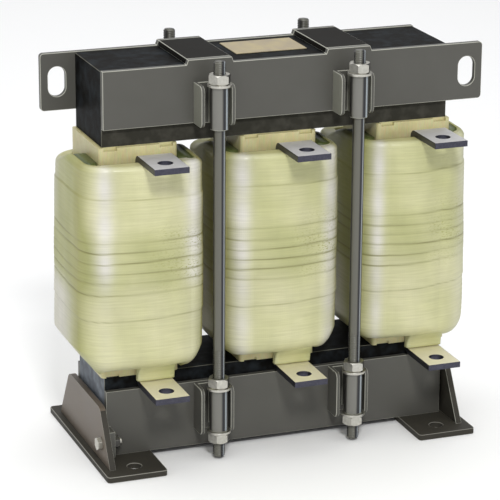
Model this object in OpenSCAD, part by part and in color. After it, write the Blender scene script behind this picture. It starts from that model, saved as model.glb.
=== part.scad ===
// Three-phase iron-core reactor for the load side of a drive, standing on two feet.
// Origin: on the floor, in the middle of the four foot holes. +X runs along the yokes,
// +Z is up, and the terminals point to the front, which is -Y. All lengths are millimetres.

/* [Core] */
// Width of one limb
limb_w = 60; // [40:1:80]
// Width of the window between two limbs
window_w = 60; // [50:1:80]
// Depth of the stack of sheets
stack_d = 70; // [50:1:100]
// Height of each yoke
yoke_h = 62; // [52:1:80]
// Height of the window between the yokes
window_h = 194.5; // [170:0.5:240]
// Thickness of each air-gap spacer in a limb
gap_t = 3.6; // [1:0.1:6]
// Height of the lower yoke over the feet
yoke_lift = 5.5; // [5.5:0.5:20]

/* [Clamp plates] */
// Thickness of the clamp plates
clamp_t = 5; // [3:0.5:8]
// Height of the upper clamp plates
upper_clamp_h = 48; // [40:1:52]
// Height of the lower clamp plates
lower_clamp_h = 56; // [50:1:58]
// How far the upper clamp plates stand over the yoke
clamp_proud = 1; // [0:0.5:3]
// Length of the lug past the end of the yoke
lug_l = 29.5; // [27:0.5:40]
// Rounding of the lug's corners
lug_r = 3; // [1:0.5:8]
// Width of the slot in the lug
slot_w = 15; // [8:0.5:18]
// Height of the slot in the lug
slot_h = 25; // [20:0.5:30]
// Distance of the slot from the end of the yoke
slot_x = 15.5; // [14:0.5:16]

/* [Straps] */
// Width of the straps that tie the clamp plates together
strap_w = 37; // [20:1:44]
// Thickness of the straps over the upper yoke
strap_t = 5; // [3:0.5:8]
// Thickness of the straps under the lower yoke
low_strap_t = 5; // [3:0.5:5.5]
// Bevel on the tabs that rise to the straps
tab_bevel = 1.5; // [0.5:0.5:3]

/* [Tie rods] */
// Diameter of the tie rods
rod_d = 10; // [8:1:12]
// Distance of the rod axis from the face of the clamp plate
rod_out = 22; // [19:0.5:28]
// Outer diameter of the sleeves
sleeve_d = 15; // [14:0.5:18]
// Running gap round the rod in its sleeve
sleeve_gap = 0.5; // [0.2:0.1:0.8]
// Running gap round the rod in a nut or washer
nut_gap = 0.15; // [0.05:0.05:0.4]
// Length of the upper sleeves
upper_sleeve_l = 35; // [25:0.5:37]
// Length of the lower sleeves
lower_sleeve_l = 36; // [25:0.5:38]
// Width across the flats of the rod nuts
nut_af = 16; // [14:1:17]
// Height of the rod nuts
nut_h = 8; // [5:0.5:8]
// Diameter of the rod washers
washer_d = 20; // [19:0.5:21]
// Thickness of the rod washers
washer_t = 2; // [1:0.5:2.5]
// Length of rod above the upper nut
rod_top_l = 10; // [4:0.5:16]
// Length of rod below the lowest nut
rod_low_l = 13; // [4:0.5:14]

/* [Rod brackets] */
// Width over the two cheeks of a bracket
bracket_w = 28.6; // [28:0.2:34]
// Thickness of the bracket sheet
cheek_t = 3; // [2:0.5:3]
// How far the cheeks stand out from the clamp plate
cheek_d = 20; // [12:0.5:26]
// Rounding of the cheeks' front corners
cheek_r = 5; // [1:0.5:8]
// Height of the upper brackets
upper_bracket_h = 34; // [24:0.5:38]
// Height of the lower brackets
lower_bracket_h = 40; // [30:0.5:44]
// Thickness of the rib that carries a sleeve
rib_t = 4; // [2:0.5:6]
// Distance of the lower bracket's top below the top of its plate
lower_bracket_drop = 1; // [0:0.5:3]

/* [Formers] */
// Wall of the insulating former round a limb
former_t = 2.7; // [1.5:0.1:4]
// Gap between the limb and its former
former_gap = 0.3; // [0.2:0.1:0.6]
// Outer rounding of the former's corners
former_r = 3; // [1:0.5:5]
// Width of the notches in the former's front and rear edges
notch_w = 11; // [4:0.5:14]
// Depth of the notches in the former's front and rear edges
notch_h = 2.5; // [1:0.5:5]
// Distance of the notches from the former's corners
notch_in = 4; // [3:0.5:8]

/* [Coils] */
// Thickness of the wound coil round its former
coil_t = 19; // [16:0.5:22]
// Distance of a coil's ends from the yokes
coil_end_gap = 11.75; // [9:0.25:20]
// Radius of a coil's upright corners
coil_r = 24; // [18:0.5:26]
// How far the front and rear faces bulge
bulge_front = 3; // [0:0.5:5]
// How far the side faces bulge
bulge_side = 0.8; // [0:0.2:1.6]
// Rounding of the upper rims
top_rim_r = 5; // [3:0.5:9]
// Height over which the lower rims draw in
low_rim_h = 20; // [8:0.5:24]
// How far the lower rims draw in
low_rim_w = 11; // [6:0.5:12]
// Height of the solid lower end of the tape, under the winding
low_end_t = 14; // [8:0.5:18]
// How much shorter a coil is at its rear, at each end
rear_drop = 12; // [0:0.5:14]
// Thickness of the tape over the winding
tape_t = 4; // [2:0.5:5]
// Extra thickness of the broad middle band of tape
band_t = 0.7; // [0.2:0.1:1.2]
// Distance of the broad middle band of tape from the coil's lower end
band_low = 43.5; // [40:0.5:50]
// Distance of the broad middle band of tape from the coil's upper end
band_high = 26.5; // [24:0.5:42]
// Number of tape grooves round the middle
groove_n = 6; // [2:1:6]
// Pitch of the tape grooves
groove_pitch = 8.6; // [6:0.2:10]
// Distance of the lowest tape groove from the coil's lower end
groove_low = 65.75; // [56:0.25:70]
// Depth of the tape grooves
groove_t = 0.8; // [0.3:0.1:1.2]
// Width of the tape grooves
groove_w = 1.8; // [1:0.1:3]
// Play between the winding and what is round it
winding_gap = 0.3; // [0.2:0.1:0.5]

/* [Terminals] */
// Width of the flat terminals
bar_w = 29; // [22:0.5:32]
// Thickness of the flat terminals
bar_t = 5; // [3:0.5:5]
// Sideways offset of a terminal from the middle of its limb
bar_x = 11.5; // [6:0.5:14]
// Reach of a terminal from the former's front face
bar_reach = 50; // [42:0.5:60]
// Diameter of the terminal holes
bar_hole_d = 12; // [8:0.5:14]
// Distance of a terminal hole from the front edge
bar_hole_back = 17; // [10:0.5:20]
// Length of a terminal's tail inside the coil
tail_in = 50; // [30:1:60]
// Gap between the lower clamp plate and the lower terminals
bar_lift = 2.25; // [1:0.25:4]
// Outer bend radius of a terminal
bend_r = 6.5; // [5.5:0.5:9]

/* [Feet] */
// Width of a foot's base plate
foot_w = 51; // [44:1:60]
// Depth of a foot's base plate
foot_d = 170; // [160:1:200]
// Thickness of a foot's base plate
foot_t = 5; // [3:0.5:8]
// Rounding of the base plate's corners
foot_r = 3; // [1:0.5:8]
// Rim of the base plate outside the end plate
foot_rim = 6; // [2:0.5:15]
// Gap between the yoke and the end plate
end_gap = 2; // [1:0.5:4]
// Thickness of the end plate
end_t = 5; // [3:0.5:8]
// Height of the end plate
end_h = 45; // [35:0.5:60]
// Width of the end plate at its top
end_top_w = 88; // [84:1:100]
// Distance of the end plate's foot from the ends of the base plate
end_set = 14; // [8:0.5:18]
// Rounding of the end plate's upper corners
end_r = 10; // [4:0.5:14]
// Diameter of the foot holes
foot_hole_d = 12; // [8:0.5:14]
// Distance of the foot holes from the outer side of the base plate
foot_hole_side = 28; // [24:0.5:34]
// Distance of the foot holes from the ends of the base plate
foot_hole_end = 18; // [14:0.5:24]

/* [Foot bolts] */
// Diameter of the foot bolts
bolt_d = 6; // [5:0.5:8]
// Width across the flats of the bolt heads and nuts
bolt_af = 10; // [9:0.5:12]
// Height of the bolt heads
bolt_head_h = 4; // [3:0.5:6]
// Height of the bolt nuts
bolt_nut_h = 5; // [4:0.5:7]
// Length of thread past the nut
bolt_tip_l = 2; // [1:0.5:5]
// Running gap round the bolt in its holes
bolt_gap = 0.3; // [0.1:0.1:0.6]
// Depth of the ear that takes the bolt
ear_d = 14; // [13:0.5:18]
// Height of the ear that takes the bolt
ear_h = 22; // [16:0.5:30]
// Thickness of the ear that takes the bolt
ear_t = 5; // [4:0.5:8]
// Height of the ear over the foot
ear_z = 4; // [1:0.5:10]

/* [Rating plate] */
// Length of the blank rating plate
plate_w = 62; // [40:1:70]
// Width of the blank rating plate
plate_d = 41; // [30:1:50]
// Thickness of the blank rating plate
plate_t = 0.8; // [0.4:0.1:1]
// Sideways place of the rating plate
plate_x = 2.5; // [-4:0.5:4]
// Place of the rating plate from front to rear
plate_y = 6.5; // [-8:0.5:8]
// Rounding of the rating plate's corners
plate_r = 1; // [0.5:0.5:3]

/* [Hidden] */
$fn = 48;
// Overrun of a cut past the face that it opens
cut_over = 1;
// Smallest play between two pieces that are put together
seat_gap = 0.3;
// Steps of a coil's corner, of its broad faces, of its narrow faces and of its rims
corner_steps = 7;
face_steps = 6;
side_steps = 4;
rim_steps = 5;
// Blocks that each limb is cut into, with a spacer below, between and above them
limb_blocks = 3;
// Smallest radius of a rounded inner corner
inner_r = 1;

pitch = limb_w + window_w;
limb_xs = [-pitch, 0, pitch];
yoke_l = 3 * limb_w + 2 * window_w;
yoke_x = yoke_l / 2;
stack_y = stack_d / 2;
low_yoke_z = foot_t + yoke_lift;
window_z = low_yoke_z + yoke_h;
up_yoke_z = window_z + window_h;
core_top = up_yoke_z + yoke_h;
block_h = (window_h - (limb_blocks + 1) * gap_t) / limb_blocks;

up_clamp_top = core_top + clamp_proud;
up_clamp_z = up_clamp_top - upper_clamp_h;
low_clamp_z = foot_t;
low_clamp_top = low_clamp_z + lower_clamp_h;
face_y = stack_y + clamp_t;
tab_h = core_top + strap_t - up_clamp_top;

rod_x = pitch / 2;
rod_y = face_y + rod_out;
rod_places = [for (x = [-rod_x, rod_x], side = [0, 180]) [x, side]];
up_bracket_z = up_clamp_z;
up_sleeve_top = up_bracket_z + upper_bracket_h + (upper_sleeve_l - upper_bracket_h) / 2;
up_sleeve_z = up_sleeve_top - upper_sleeve_l;
low_bracket_z = low_clamp_top - lower_bracket_drop - lower_bracket_h;
low_sleeve_top = low_clamp_top;
low_sleeve_z = low_sleeve_top - lower_sleeve_l;
rod_low_z = low_sleeve_z - washer_t - nut_h - rod_low_l;
rod_top_z = up_sleeve_top + washer_t + nut_h + rod_top_l;

former_x = limb_w / 2 + former_gap + former_t;
former_y = stack_y + former_gap + former_t;
coil_x = former_x + coil_t;
coil_y = former_y + coil_t;
coil_h = window_h - 2 * coil_end_gap;
coil_z = window_z + coil_end_gap;
coil_top = coil_z + coil_h;
tail_gap = bar_t + winding_gap + seat_gap;
flange_in = coil_t - tail_gap - seat_gap;
winding_t = coil_t - tape_t - 2 * winding_gap;

bar_y = former_y + winding_gap;
bar_front = former_y + bar_reach;
low_bar_z = low_clamp_top + bar_lift;
low_bar_top = low_bar_z + bar_t;

foot_out = yoke_x + end_gap + end_t + foot_rim;
foot_mid = foot_out - foot_w / 2;
foot_hole_x = foot_out - foot_hole_side;
foot_hole_y = foot_d / 2 - foot_hole_end;
end_low_w = foot_d - 2 * end_set;
end_x = yoke_x + end_gap;
bolt_y = face_y + ear_d / 2;
bolt_z = foot_t + ear_z + ear_h / 2;

steel_paint = "#4e4e49";
core_black = "#2b2c2b";
board_cream = "#d9cf9f";
tape_green = "#cfcb9f";
tin = "#c9c7c4";
copper = "#b87a50";
zinc = "#c8c6bd";
sleeve_grey = "#6c6864";

// Points of an arc about a centre, from one angle to another.
function arc(cx, cy, r, from, to, steps) =
    [for (i = [0:steps]) let (a = from + (to - from) * i / steps) [cx + r * cos(a), cy + r * sin(a)]];

// Closed outline of a wound coil: round corners, and faces that bulge as a parabola.
function coil_outline(hx, hy, r, bx, by) =
    let (ex = hx - r, ey = hy - r)
    concat(
        arc(ex, ey, r, 0, 90, corner_steps),
        [for (i = [1:face_steps - 1]) let (u = 1 - 2 * i / face_steps) [ex * u, hy + by * (1 - u * u)]],
        arc(-ex, ey, r, 90, 180, corner_steps),
        [for (i = [1:side_steps - 1]) let (u = 1 - 2 * i / side_steps) [-hx - bx * (1 - u * u), ey * u]],
        arc(-ex, -ey, r, 180, 270, corner_steps),
        [for (i = [1:face_steps - 1]) let (u = 2 * i / face_steps - 1) [ex * u, -hy - by * (1 - u * u)]],
        arc(ex, -ey, r, 270, 360, corner_steps),
        [for (i = [1:side_steps - 1]) let (u = 2 * i / side_steps - 1) [hx + bx * (1 - u * u), ey * u]]
    );

// The coil's outline moved inwards by a distance. The bulge fades towards the former.
function coil_ring(inset) =
    let (k = max(0, 1 - inset / coil_t))
    coil_outline(coil_x - inset, coil_y - inset, max(coil_r - inset, inner_r), bulge_side * k, bulge_front * k);

// How far an end of the coil has drawn in at a place from front to rear: nothing at the
// front, then evenly from the middle to the rear corners.
function end_drop(y) = rear_drop * min(1, max(0, y / (coil_y - coil_r)));

// Section of the tape that is wrapped over a winding, as [distance inwards, height over the
// coil's lower end, share of the rear drop]: a wall with rounded rims, a broad middle band,
// grooves, and two flanges that turn in.
function tape_section() =
    concat(
        [[flange_in, coil_h, -1]],
        [for (i = [0:rim_steps]) let (a = 90 * (1 - i / rim_steps))
            [band_t + top_rim_r * (1 - cos(a)), coil_h - top_rim_r * (1 - sin(a)), -1]],
        [[band_t, coil_h - band_high + groove_w, 0], [0, coil_h - band_high, 0]],
        [for (g = [groove_n - 1:-1:0], p = [[0, 1], [groove_t, 0], [0, -1]])
            [p[0], groove_low + g * groove_pitch + p[1] * groove_w / 2, 0]],
        [[0, band_low, 0], [band_t, band_low - groove_w, 0]],
        [for (i = [0:rim_steps]) let (a = 90 * i / rim_steps)
            [band_t + low_rim_w * (1 - cos(a)), low_rim_h * (1 - sin(a)), 1]],
        [[flange_in, 0, 1], [flange_in, low_end_t, 1]],
        [[tape_t, low_end_t, 1], [tape_t, coil_h - tape_t, -1]],
        [[flange_in, coil_h - tape_t, -1]]
    );

// Skin over closed rings of points: each ring joins the next, and the last joins the first.
module ring_skin(rings) {
    n = len(rings[0]);
    m = len(rings);
    points = [for (ring = rings, p = ring) p];
    faces = [for (i = [0:m - 1], j = [0:n - 1])
        let (a = i * n + j, b = i * n + (j + 1) % n, c = ((i + 1) % m) * n + (j + 1) % n, d = ((i + 1) % m) * n + j)
        each [[a, b, c], [a, c, d]]];
    polyhedron(points = points, faces = faces, convexity = 6);
}

// Flat rectangle with round corners, centred on its middle.
module round_rect(w, h, r) {
    square([w - 2 * r, h], center = true);
    square([w, h - 2 * r], center = true);
    for (x = [-1, 1], y = [-1, 1])
        translate([x * (w / 2 - r), y * (h / 2 - r)]) circle(r);
}

// Upright flat plate: a flat shape in X and Z, made t thick from face y towards the front.
module upright(y, t) {
    translate([0, y, 0]) rotate([90, 0, 0]) linear_extrude(t) children();
}

// Hexagon of a width across its flats.
module hexagon(af) {
    circle(d = af / cos(30), $fn = 6);
}

module yoke(z) {
    color(core_black) translate([-yoke_x, -stack_y, z]) cube([yoke_l, stack_d, yoke_h]);
}

module upper_yoke() {
    yoke(up_yoke_z);
}

module lower_yoke() {
    yoke(low_yoke_z);
}

// One limb: blocks of core sheet with an air gap under, between and over them.
module limb(x) {
    color(core_black)
    for (i = [0:limb_blocks - 1])
        translate([x - limb_w / 2, -stack_y, window_z + gap_t + i * (block_h + gap_t)])
            cube([limb_w, stack_d, block_h]);
}

module gap_spacers() {
    color(board_cream)
    for (x = limb_xs, i = [0:limb_blocks])
        translate([x - limb_w / 2, -stack_y, window_z + i * (block_h + gap_t)])
            cube([limb_w, stack_d, gap_t]);
}

// Square tube of insulating board round a limb. Its upper and lower edges are notched
// at the front and rear.
module former(x) {
    h = window_h - seat_gap;
    color(board_cream)
    translate([x, 0, window_z])
    difference() {
        linear_extrude(h) round_rect(2 * former_x, 2 * former_y, former_r);
        translate([0, 0, -cut_over])
            linear_extrude(h + 2 * cut_over) square([2 * (former_x - former_t), 2 * (former_y - former_t)], center = true);
        for (sx = [-1, 1], sy = [-1, 1], z = [0, h])
            translate([sx * (former_x - notch_in - notch_w / 2), sy * former_y, z])
                cube([notch_w, 2 * (former_t + cut_over), 2 * notch_h], center = true);
    }
}

// Wedge over the rear half of a winding, which takes off what its rear drop leaves out.
// It starts at z, and up is 1 for the upper end and -1 for the lower end.
module drop_wedge(x, z, up) {
    rear = coil_y + cut_over;
    translate([x - coil_x, 0, z]) rotate([90, 0, 90]) linear_extrude(2 * coil_x)
        polygon([
            [0, 0], [coil_y - coil_r, -up * rear_drop], [rear, -up * rear_drop],
            [rear, up * cut_over], [0, up * cut_over]
        ]);
}

// Wound conductor, with pockets at the front for the tails of the two terminals.
module winding(x) {
    low = coil_z + low_end_t + winding_gap;
    h = coil_h - low_end_t - tape_t - 2 * winding_gap;
    pocket = bar_w + 2 * winding_gap;
    color(copper)
    difference() {
        translate([x, 0, low]) linear_extrude(h)
            difference() {
                polygon(coil_ring(tape_t + winding_gap));
                square([2 * (former_x + winding_gap), 2 * (former_y + winding_gap)], center = true);
            }
        translate([x + bar_x - pocket / 2, -former_y - tail_gap, coil_top - tail_in - seat_gap])
            cube([pocket, tail_gap, tail_in]);
        translate([x + bar_x - pocket / 2, -former_y - tail_gap, coil_z + seat_gap])
            cube([pocket, tail_gap, tail_in]);
        drop_wedge(x, low + h, 1);
        drop_wedge(x, low, -1);
    }
}

// Glass tape and resin wrapped over the winding, open towards the former.
module coil_tape(x) {
    color(tape_green)
    translate([x, 0, coil_z])
        ring_skin([for (s = tape_section()) [for (p = coil_ring(s[0])) [p[0], p[1], s[1] + s[2] * end_drop(p[1])]]]);
}

// Side view of a terminal: a tail against the former, a bend, and a flat to the front.
// y is counted from the former to the front, z from the face that the tail leaves.
function bar_side(tail) =
    let (reach = bar_front - bar_y, in_r = bend_r - bar_t)
    concat(
        [[0, -tail]],
        arc(bend_r, bar_t - bend_r, bend_r, 180, 90, corner_steps),
        [[reach, bar_t], [reach, 0]],
        arc(bar_t + in_r, -in_r, in_r, 90, 180, corner_steps),
        [[bar_t, -tail]]
    );

module bar(x, z, up, tail) {
    difference() {
        translate([x + bar_x + bar_w / 2, -bar_y, z])
            rotate([90, 0, -90])
                linear_extrude(bar_w)
                    polygon([for (p = bar_side(tail)) [p[0], up * p[1]]]);
        translate([x + bar_x, -bar_front + bar_hole_back, z - bar_t - cut_over])
            cylinder(d = bar_hole_d, h = 2 * (bar_t + cut_over));
    }
}

module upper_terminal(x) {
    color(tin) bar(x, coil_top, 1, tail_in);
}

module lower_terminal(x) {
    color(tin) bar(x, low_bar_top, -1, coil_z + tail_in - low_bar_top);
}

// Upper clamp plate seen from the front: the plate, the lug at its right end with its
// slot, and two tabs that rise to the top of the straps.
module upper_clamp_shape() {
    mid_z = up_clamp_z + upper_clamp_h / 2;
    straight = slot_h - slot_w;
    difference() {
        union() {
            translate([-yoke_x, up_clamp_z]) square([yoke_l, upper_clamp_h]);
            translate([yoke_x, mid_z]) round_rect(2 * lug_l, upper_clamp_h, lug_r);
            for (x = [-rod_x, rod_x])
                translate([x, up_clamp_top])
                    polygon([
                        [-strap_w / 2 - tab_bevel, -tab_bevel], [strap_w / 2 + tab_bevel, -tab_bevel],
                        [strap_w / 2 + tab_bevel, 0], [strap_w / 2, tab_h],
                        [-strap_w / 2, tab_h], [-strap_w / 2 - tab_bevel, 0]
                    ]);
        }
        translate([yoke_x + slot_x, mid_z]) {
            square([slot_w, straight], center = true);
            for (s = [-1, 1]) translate([0, s * straight / 2]) circle(d = slot_w);
        }
    }
}

module upper_clamp() {
    color(steel_paint) upright(-stack_y, clamp_t) upper_clamp_shape();
}

// Lower clamp plate, with the ear at its left end that is bolted to the end plate.
module lower_clamp() {
    color(steel_paint)
    difference() {
        union() {
            translate([-yoke_x, -face_y, low_clamp_z]) cube([yoke_l, clamp_t, lower_clamp_h]);
            translate([-end_x, -face_y - ear_d, foot_t + ear_z]) cube([ear_t, ear_d + clamp_t, ear_h]);
        }
        translate([-end_x - cut_over, -bolt_y, bolt_z])
            rotate([0, 90, 0]) cylinder(d = bolt_d + 2 * bolt_gap, h = ear_t + 2 * cut_over);
    }
}

module upper_clamp_front() {
    upper_clamp();
}

module upper_clamp_rear() {
    rotate([0, 0, 180]) upper_clamp();
}

module lower_clamp_front() {
    lower_clamp();
}

module lower_clamp_rear() {
    rotate([0, 0, 180]) lower_clamp();
}

// Flat strap between the front and rear clamp plates.
module strap(x, z, t) {
    color(steel_paint) translate([x - strap_w / 2, -stack_y, z]) cube([strap_w, stack_d, t]);
}

// Rod bracket on a clamp plate: a web, two cheeks with round front corners, and a rib
// behind the sleeve. It stands on z, and its sleeve spans sleeve_z to sleeve_top.
module bracket(z, h, sleeve_z, sleeve_top) {
    difference() {
        union() {
            translate([-bracket_w / 2, -cheek_t, z]) cube([bracket_w, cheek_t, h]);
            for (x = [-bracket_w / 2, bracket_w / 2 - cheek_t])
                translate([x, 0, z]) rotate([90, 0, 90]) linear_extrude(cheek_t)
                    polygon(concat(
                        [[0, 0]],
                        arc(-cheek_d + cheek_r, cheek_r, cheek_r, 270, 180, corner_steps),
                        arc(-cheek_d + cheek_r, h - cheek_r, cheek_r, 180, 90, corner_steps),
                        [[0, h]]
                    ));
            translate([-rib_t / 2, -rod_out, sleeve_z]) cube([rib_t, rod_out, sleeve_top - sleeve_z]);
        }
        translate([0, -rod_out, sleeve_z - cut_over])
            cylinder(d = sleeve_d + seat_gap, h = sleeve_top - sleeve_z + 2 * cut_over);
    }
}

// Copies of a piece at the four tie rods. At the rear it is turned to face backwards.
module at_rods(y) {
    for (p = rod_places) rotate([0, 0, p[1]]) translate([p[0], -y, 0]) children();
}

module upper_brackets() {
    rib_z = max(up_sleeve_z, up_bracket_z);
    rib_top = min(up_sleeve_top, up_bracket_z + upper_bracket_h);
    color(steel_paint) at_rods(face_y) bracket(up_bracket_z, upper_bracket_h, rib_z, rib_top);
}

module lower_brackets() {
    rib_z = max(low_sleeve_z, low_bracket_z);
    rib_top = min(low_sleeve_top, low_bracket_z + lower_bracket_h);
    color(steel_paint) at_rods(face_y) bracket(low_bracket_z, lower_bracket_h, rib_z, rib_top);
}

// Plain tube round a rod.
module tube(outer, bore, z, h) {
    translate([0, 0, z])
    difference() {
        cylinder(d = outer, h = h);
        translate([0, 0, -cut_over]) cylinder(d = bore, h = h + 2 * cut_over);
    }
}

module upper_sleeves() {
    color(sleeve_grey) at_rods(rod_y) tube(sleeve_d, rod_d + 2 * sleeve_gap, up_sleeve_z, upper_sleeve_l);
}

module lower_sleeves() {
    color(sleeve_grey) at_rods(rod_y) tube(sleeve_d, rod_d + 2 * sleeve_gap, low_sleeve_z, lower_sleeve_l);
}

module tie_rods() {
    color(zinc) at_rods(rod_y) translate([0, 0, rod_low_z]) cylinder(d = rod_d, h = rod_top_z - rod_low_z);
}

// Hexagon nut round a rod or bolt, with the corners of both faces turned off.
module nut(af, h, bore, z) {
    translate([0, 0, z])
    difference() {
        intersection() {
            linear_extrude(h) hexagon(af);
            rotate_extrude() polygon([
                [0, 0], [af / 2, 0], [af / 2 / cos(30), af / 2 * (1 / cos(30) - 1)],
                [af / 2 / cos(30), h - af / 2 * (1 / cos(30) - 1)], [af / 2, h], [0, h]
            ]);
        }
        translate([0, 0, -cut_over]) cylinder(d = bore, h = h + 2 * cut_over);
    }
}

module rod_nut(z) {
    nut(nut_af, nut_h, rod_d + 2 * nut_gap, z);
}

module rod_washer(z) {
    tube(washer_d, rod_d + 2 * nut_gap, z, washer_t);
}

module upper_nuts() {
    color(zinc) at_rods(rod_y) rod_nut(up_sleeve_top + washer_t);
}

module upper_washers() {
    color(zinc) at_rods(rod_y) rod_washer(up_sleeve_top);
}

// Each rod has a nut over its lower sleeve and one under it.
module lower_nuts() {
    color(zinc) at_rods(rod_y) {
        rod_nut(low_sleeve_top + washer_t);
        rod_nut(low_sleeve_z - washer_t - nut_h);
    }
}

module lower_washers() {
    color(zinc) at_rods(rod_y) {
        rod_washer(low_sleeve_top);
        rod_washer(low_sleeve_z - washer_t);
    }
}

// Base plate of a foot, on the left for side -1 and on the right for side 1.
module foot_base(side) {
    color(steel_paint)
    difference() {
        translate([side * foot_mid, 0, 0]) linear_extrude(foot_t) round_rect(foot_w, foot_d, foot_r);
        for (y = [-1, 1])
            translate([side * foot_hole_x, y * foot_hole_y, -cut_over])
                cylinder(d = foot_hole_d, h = foot_t + 2 * cut_over);
    }
}

// End plate of a foot, drawn for the left side: a trapezium with round shoulders and a
// hole for the bolt through the ear of the clamp plate.
module foot_end() {
    low = end_low_w / 2;
    top = end_top_w / 2;
    lean = atan2(low - top, end_h);
    // The shoulder's arc touches the top edge and the leaning side.
    arc_x = top - end_r * tan((90 - lean) / 2);
    color(steel_paint)
    difference() {
        translate([-end_x - end_t, 0, foot_t]) rotate([90, 0, 90]) linear_extrude(end_t)
            polygon(concat(
                [[-low, 0], [low, 0]],
                arc(arc_x, end_h - end_r, end_r, lean, 90, corner_steps),
                arc(-arc_x, end_h - end_r, end_r, 90, 180 - lean, corner_steps)
            ));
        translate([-end_x - end_t - cut_over, -bolt_y, bolt_z])
            rotate([0, 90, 0]) cylinder(d = bolt_d + 2 * bolt_gap, h = end_t + 2 * cut_over);
    }
}

// Copies at the left front and, turned half round, at the right rear.
module at_both_ends() {
    for (turn = [0, 180]) rotate([0, 0, turn]) children();
}

module foot_bolts() {
    color(zinc) at_both_ends()
        translate([-end_x - end_t, -bolt_y, bolt_z]) rotate([0, 90, 0]) {
            translate([0, 0, -bolt_head_h]) linear_extrude(bolt_head_h) hexagon(bolt_af);
            cylinder(d = bolt_d, h = end_t + ear_t + bolt_nut_h + bolt_tip_l);
        }
}

module foot_nuts() {
    color(zinc) at_both_ends()
        translate([-end_x, -bolt_y, bolt_z]) rotate([0, 90, 0])
            nut(bolt_af, bolt_nut_h, bolt_d + 2 * nut_gap, ear_t);
}

module rating_plate() {
    color(tin) translate([plate_x, plate_y, core_top])
        linear_extrude(plate_t) round_rect(plate_w, plate_d, plate_r);
}

upper_yoke();
lower_yoke();
limb(limb_xs[0]);  // limb_left
limb(limb_xs[1]);  // limb_middle
limb(limb_xs[2]);  // limb_right
gap_spacers();
former(limb_xs[0]);  // former_left
former(limb_xs[1]);  // former_middle
former(limb_xs[2]);  // former_right
winding(limb_xs[0]);  // winding_left
winding(limb_xs[1]);  // winding_middle
winding(limb_xs[2]);  // winding_right
coil_tape(limb_xs[0]);  // coil_tape_left
coil_tape(limb_xs[1]);  // coil_tape_middle
coil_tape(limb_xs[2]);  // coil_tape_right
upper_terminal(limb_xs[0]);  // upper_terminal_left
upper_terminal(limb_xs[1]);  // upper_terminal_middle
upper_terminal(limb_xs[2]);  // upper_terminal_right
lower_terminal(limb_xs[0]);  // lower_terminal_left
lower_terminal(limb_xs[1]);  // lower_terminal_middle
lower_terminal(limb_xs[2]);  // lower_terminal_right
upper_clamp_front();
upper_clamp_rear();
lower_clamp_front();
lower_clamp_rear();
strap(-rod_x, core_top, strap_t);  // upper_strap_left
strap(rod_x, core_top, strap_t);  // upper_strap_right
strap(-rod_x, low_yoke_z - low_strap_t, low_strap_t);  // lower_strap_left
strap(rod_x, low_yoke_z - low_strap_t, low_strap_t);  // lower_strap_right
upper_brackets();
lower_brackets();
upper_sleeves();
lower_sleeves();
tie_rods();
upper_nuts();
upper_washers();
lower_nuts();
lower_washers();
foot_base(-1);  // foot_base_left
foot_base(1);  // foot_base_right
foot_end();  // foot_end_left
rotate([0, 0, 180]) foot_end();  // foot_end_right
foot_bolts();
foot_nuts();
rating_plate();
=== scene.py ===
import bmesh
import bpy
import numpy as np
from mathutils import Matrix


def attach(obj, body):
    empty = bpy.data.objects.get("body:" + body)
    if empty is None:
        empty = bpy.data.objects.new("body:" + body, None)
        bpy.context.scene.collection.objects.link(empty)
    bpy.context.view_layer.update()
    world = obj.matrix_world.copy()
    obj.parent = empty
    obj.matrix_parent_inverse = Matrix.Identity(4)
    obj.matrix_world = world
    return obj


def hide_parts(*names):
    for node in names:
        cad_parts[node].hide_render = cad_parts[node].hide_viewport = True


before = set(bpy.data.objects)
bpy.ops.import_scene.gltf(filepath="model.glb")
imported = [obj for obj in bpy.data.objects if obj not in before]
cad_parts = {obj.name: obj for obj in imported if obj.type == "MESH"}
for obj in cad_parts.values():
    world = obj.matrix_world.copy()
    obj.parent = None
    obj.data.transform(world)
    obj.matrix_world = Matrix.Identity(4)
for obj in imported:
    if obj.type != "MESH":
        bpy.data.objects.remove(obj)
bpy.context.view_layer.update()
MM = 0.001

# %% [markdown]
# ## Helpers for shapes
# Every new surface is a grid of points, worked out as whole numpy arrays: one direction
# runs round a closed section, the other along the piece. One helper joins neighbours into
# four-sided faces. It either closes the grid on itself, like a tyre, or caps its two ends.
# %% A mesh from a grid of rings
def ring_piece(name, rings, closed=False, uv=None):
    """Skins rings of points, shape (m, n, 3) in millimetres. Point j of ring i joins point
    j + 1 of its own ring and point j of ring i + 1. With closed, the last ring joins the
    first; without, each end ring becomes one flat face. uv is an array (m, n + 1, 2)."""
    m, n = rings.shape[:2]
    index = np.arange(m * n).reshape(m, n)
    near = index if closed else index[:-1]
    far = np.roll(index, -1, axis=0) if closed else index[1:]
    quads = np.stack([near, np.roll(near, -1, axis=1), np.roll(far, -1, axis=1), far], axis=-1)
    faces = quads.reshape(-1, 4).tolist()
    if not closed:
        faces += [index[0, ::-1].tolist(), index[-1].tolist()]
    mesh = bpy.data.meshes.new(name)
    mesh.from_pydata((rings.reshape(-1, 3) * MM).tolist(), [], faces)
    mesh.update()
    if uv is not None:
        row, column = np.arange(len(quads))[:, None], np.arange(n)[None, :]
        next_row = np.minimum(row + 1, len(uv) - 1)
        corners = np.stack([uv[row, column], uv[row, column + 1],
                            uv[next_row, column + 1], uv[next_row, column]], axis=2)
        flat = np.zeros((len(mesh.loops), 2))
        flat[:corners.size // 2] = corners.reshape(-1, 2)
        mesh.uv_layers.new(name="tape").data.foreach_set("uv", flat.ravel())
    piece = bpy.data.objects.new(name, mesh)
    bpy.context.scene.collection.objects.link(piece)
    mesh.shade_smooth()
    return piece


def face_outwards(piece):
    """Turns the faces so that a closed surface encloses a positive volume."""
    net = bmesh.new()
    net.from_mesh(piece.data)
    bmesh.ops.recalc_face_normals(net, faces=net.faces)
    net.to_mesh(piece.data)
    net.free()


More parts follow.
